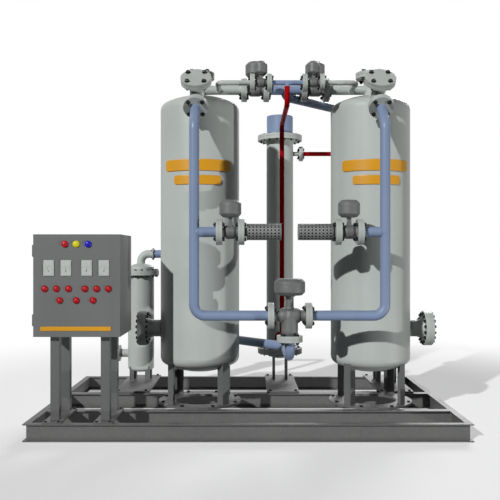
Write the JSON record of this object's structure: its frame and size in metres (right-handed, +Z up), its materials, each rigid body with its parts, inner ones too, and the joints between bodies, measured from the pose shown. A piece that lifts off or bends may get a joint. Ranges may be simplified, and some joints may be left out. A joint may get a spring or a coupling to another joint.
{
  "type": "desiccant air dryer",
  "caption": "Twin-tower heated-purge desiccant dryer for compressed air on a beam skid, with switching valves, mufflers, filters, heater and control cabinet.",
  "frame": {"origin": "on the floor, under the middle of the skid", "axes": "+X along the skid towards tower B, -Y towards the control cabinet's side (front), +Z up"},
  "size_m": [3.8, 2.32, 3.4471],
  "materials": {
    "frame_grey": "satin grey paint",
    "shell_white": "satin off-white paint",
    "valve_grey": "satin mid-grey paint",
    "pipe_blue": "satin light blue paint",
    "pipe_red": "satin dark red paint",
    "stem_steel": "turned steel",
    "button_red": "glossy red plastic"
  },
  "bodies": {
    "frame": {"skid_frame": "frame_grey", "stand_a": "frame_grey", "stand_b": "frame_grey", "cabinet": "frame_grey", "cabinet_stand_left": "frame_grey", "cabinet_stand_right": "frame_grey", "tower_a": "shell_white", "tower_b": "shell_white", "top_cover_a": "shell_white", "top_cover_b": "shell_white", "fill_cover_a": "shell_white", "fill_cover_b": "shell_white", "manway_cover_a": "shell_white", "manway_cover_b": "shell_white", "prefilter": "shell_white", "prefilter_head": "shell_white", "afterfilter": "shell_white", "afterfilter_head": "shell_white", "heater": "shell_white", "heater_head": "shell_white", "outlet_a_valve": "valve_grey", "outlet_b_valve": "valve_grey", "purge_a_valve": "valve_grey", "purge_b_valve": "valve_grey", "exhaust_a_valve": "valve_grey", "exhaust_b_valve": "valve_grey", "outlet_a_actuator": "valve_grey", "outlet_b_actuator": "valve_grey", "purge_a_actuator": "valve_grey", "purge_b_actuator": "valve_grey", "exhaust_a_actuator": "valve_grey", "exhaust_b_actuator": "valve_grey", "inlet_valve": "valve_grey", "inlet_actuator": "valve_grey", "muffler_a": "valve_grey", "muffler_b": "valve_grey", "riser_a": "pipe_blue", "riser_b": "pipe_blue", "inlet_line": "pipe_blue", "outlet_line": "pipe_blue", "purge_manifold": "pipe_blue", "hot_purge_line": "pipe_red", "purge_supply_line": "pipe_red"},
    "door": {"door": "frame_grey"},
    "outlet_a_stem": {"outlet_a_stem": "stem_steel"},
    "outlet_b_stem": {"outlet_b_stem": "stem_steel"},
    "purge_a_stem": {"purge_a_stem": "stem_steel"},
    "purge_b_stem": {"purge_b_stem": "stem_steel"},
    "exhaust_a_stem": {"exhaust_a_stem": "stem_steel"},
    "exhaust_b_stem": {"exhaust_b_stem": "stem_steel"},
    "button_1": {"button_1": "button_red"},
    "button_2": {"button_2": "button_red"},
    "button_3": {"button_3": "button_red"},
    "button_4": {"button_4": "button_red"},
    "button_5": {"button_5": "button_red"},
    "button_6": {"button_6": "button_red"},
    "button_7": {"button_7": "button_red"},
    "button_8": {"button_8": "button_red"},
    "button_9": {"button_9": "button_red"}
  },
  "joints": [
    {"name": "door_hinge", "type": "hinge", "parent": "frame", "child": "door", "pos_m": [-1.83, -1.095, 1.314], "axis": [0, 0, -1], "range_deg": [0, 110]},
    {"name": "button_1_press", "type": "slide", "parent": "door", "child": "button_1", "axis": [0, 1, 0], "range_m": [0, 0.006], "stiffness_N_per_m": 400},
    {"name": "button_2_press", "type": "slide", "parent": "door", "child": "button_2", "axis": [0, 1, 0], "range_m": [0, 0.006], "stiffness_N_per_m": 400},
    {"name": "button_3_press", "type": "slide", "parent": "door", "child": "button_3", "axis": [0, 1, 0], "range_m": [0, 0.006], "stiffness_N_per_m": 400},
    {"name": "button_4_press", "type": "slide", "parent": "door", "child": "button_4", "axis": [0, 1, 0], "range_m": [0, 0.006], "stiffness_N_per_m": 400},
    {"name": "button_5_press", "type": "slide", "parent": "door", "child": "button_5", "axis": [0, 1, 0], "range_m": [0, 0.006], "stiffness_N_per_m": 400},
    {"name": "button_6_press", "type": "slide", "parent": "door", "child": "button_6", "axis": [0, 1, 0], "range_m": [0, 0.006], "stiffness_N_per_m": 400},
    {"name": "button_7_press", "type": "slide", "parent": "door", "child": "button_7", "axis": [0, 1, 0], "range_m": [0, 0.006], "stiffness_N_per_m": 400},
    {"name": "button_8_press", "type": "slide", "parent": "door", "child": "button_8", "axis": [0, 1, 0], "range_m": [0, 0.006], "stiffness_N_per_m": 400},
    {"name": "button_9_press", "type": "slide", "parent": "door", "child": "button_9", "axis": [0, 1, 0], "range_m": [0, 0.006], "stiffness_N_per_m": 400},
    {"name": "outlet_a_turn", "type": "hinge", "parent": "frame", "child": "outlet_a_stem", "pos_m": [0.068, -0.225, 3.2508], "axis": [0, 0, 1], "range_deg": [0, 90]},
    {"name": "outlet_b_turn", "type": "hinge", "parent": "frame", "child": "outlet_b_stem", "pos_m": [0.651, -0.225, 3.2508], "axis": [0, 0, 1], "range_deg": [0, 90]},
    {"name": "purge_a_turn", "type": "hinge", "parent": "frame", "child": "purge_a_stem", "pos_m": [0.1175, -0.585, 3.2108], "axis": [0, 0, 1], "range_deg": [0, 90]},
    {"name": "purge_b_turn", "type": "hinge", "parent": "frame", "child": "purge_b_stem", "pos_m": [0.6015, -0.585, 3.2108], "axis": [0, 0, 1], "range_deg": [0, 90]},
    {"name": "exhaust_a_turn", "type": "hinge", "parent": "frame", "child": "exhaust_a_stem", "pos_m": [-0.1545, -0.975, 1.8458], "axis": [0, 0, 1], "range_deg": [0, 90]},
    {"name": "exhaust_b_turn", "type": "hinge", "parent": "frame", "child": "exhaust_b_stem", "pos_m": [0.8735, -0.975, 1.8458], "axis": [0, 0, 1], "range_deg": [0, 90]}
  ]
}
